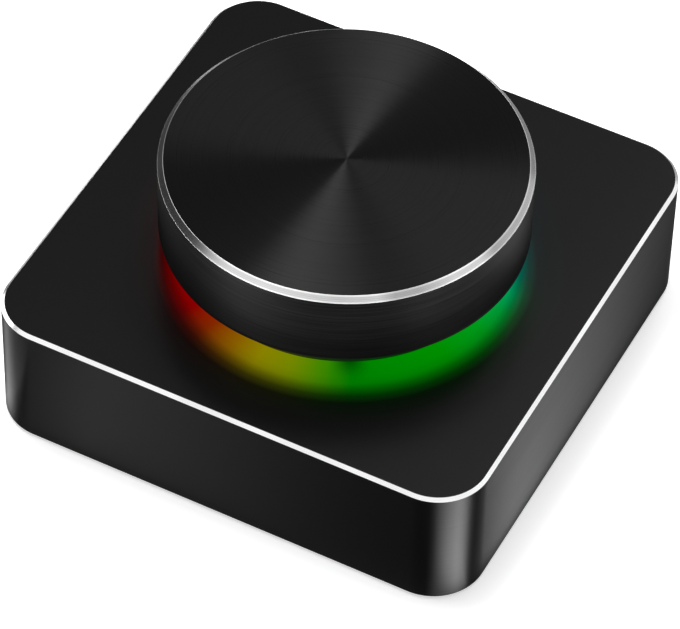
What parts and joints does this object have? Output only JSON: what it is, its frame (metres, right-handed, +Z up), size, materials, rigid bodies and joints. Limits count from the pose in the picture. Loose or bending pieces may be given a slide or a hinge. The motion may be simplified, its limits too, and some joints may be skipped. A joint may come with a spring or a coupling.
{
  "type": "wireless volume controller",
  "caption": "Square metal desktop controller with a large press-and-turn knob over a light ring, a USB-C charging socket and a sliding mode switch at the rear.",
  "frame": {"origin": "middle of the grip pad's underside, where the object stands on a desk", "axes": "+Z up along the knob's axis, +Y to the rear face with the charging socket, +X to the right"},
  "size_m": [0.06, 0.06, 0.03],
  "materials": {
    "anodised_black": "black anodised, fine bead blast, bright cut edge",
    "knob_black": "black anodised, spun face and turned side, bright cut edge",
    "cover_black": "moulded, fine texture",
    "pad_rubber": "matt, lightly pebbled",
    "screw_black": "black oxide",
    "hub_plastic": "moulded",
    "spring_steel": "rolled strip",
    "shaft_metal": "turned",
    "rotor_plastic": "moulded, natural",
    "spring_brass": "rolled strip",
    "encoder_plastic": "moulded",
    "plated_steel": "pressed and plated",
    "contact_metal": "gold plated",
    "light_ring": "milky, lit from below",
    "board_green": "solder mask",
    "lamp_white": "moulded lamp packages",
    "screw_steel": "plated",
    "connector_black": "moulded",
    "chip_black": "moulded package",
    "ceramic_white": "glazed ceramic",
    "capacitor_tan": "fired ceramic",
    "button_black": "moulded, ribbed",
    "cell_foil": "laminated foil pouch",
    "tape_foam": "double-sided foam",
    "board_amber": "solder mask",
    "connector_white": "moulded, natural",
    "lead_red": "insulation",
    "lead_black": "insulation"
  },
  "bodies": {
    "base": {"top_housing": "anodised_black", "bottom_cover": "cover_black", "grip_pad": "pad_rubber", "cover_screws": "screw_black", "snap_dome": "spring_steel", "detent_spring": "spring_brass", "encoder_base": "encoder_plastic", "encoder_body": "encoder_plastic", "encoder_bracket": "plated_steel", "encoder_terminals": "contact_metal", "encoder_washer": "plated_steel", "encoder_nut": "plated_steel", "light_guide": "light_ring", "led_board": "board_green", "ring_leds": "lamp_white", "led_board_screws": "screw_steel", "header_body": "connector_black", "header_pins": "contact_metal", "main_board": "board_green", "board_screws": "screw_steel", "radio_chip": "chip_black", "charger_chip": "chip_black", "crystal": "plated_steel", "chip_antenna": "ceramic_white", "capacitors": "capacitor_tan", "usb_shell": "plated_steel", "usb_tongue": "connector_black", "usb_contacts": "contact_metal", "switch_case": "plated_steel", "battery_cell": "cell_foil", "battery_tape": "tape_foam", "battery_guard_board": "board_amber", "battery_socket": "connector_white", "battery_plug": "connector_white", "battery_lead_red": "lead_red", "battery_lead_black": "lead_black"},
    "press_carriage": {"push_plunger": "rotor_plastic"},
    "knob": {"knob_cap": "knob_black", "knob_hub": "hub_plastic", "hub_spring_clip": "spring_steel", "encoder_shaft": "shaft_metal"},
    "rotor": {"encoder_rotor": "rotor_plastic"},
    "mode_slider": {"switch_lever": "connector_black", "switch_button": "button_black"}
  },
  "joints": [
    {"name": "knob_press", "type": "slide", "parent": "base", "child": "press_carriage", "axis": [0, 0, -1], "range_m": [0, 0.0005], "stiffness_N_per_m": 4000, "springref_m": -0.0008, "deforming": ["snap_dome"]},
    {"name": "knob_turn", "type": "hinge", "parent": "press_carriage", "child": "knob", "pos_m": [0, 0, 0.025], "axis": [0, 0, 1], "continuous": true},
    {"name": "rotor_turn", "type": "hinge", "parent": "base", "child": "rotor", "pos_m": [0, 0, 0.0124], "axis": [0, 0, 1], "continuous": true},
    {"name": "mode_switch_slide", "type": "slide", "parent": "base", "child": "mode_slider", "axis": [1, 0, 0], "range_m": [-0.002, 0.002]}
  ],
  "couplings": [
    {"joint": "rotor_turn", "follows": "knob_turn", "ratio": 1}
  ]
}
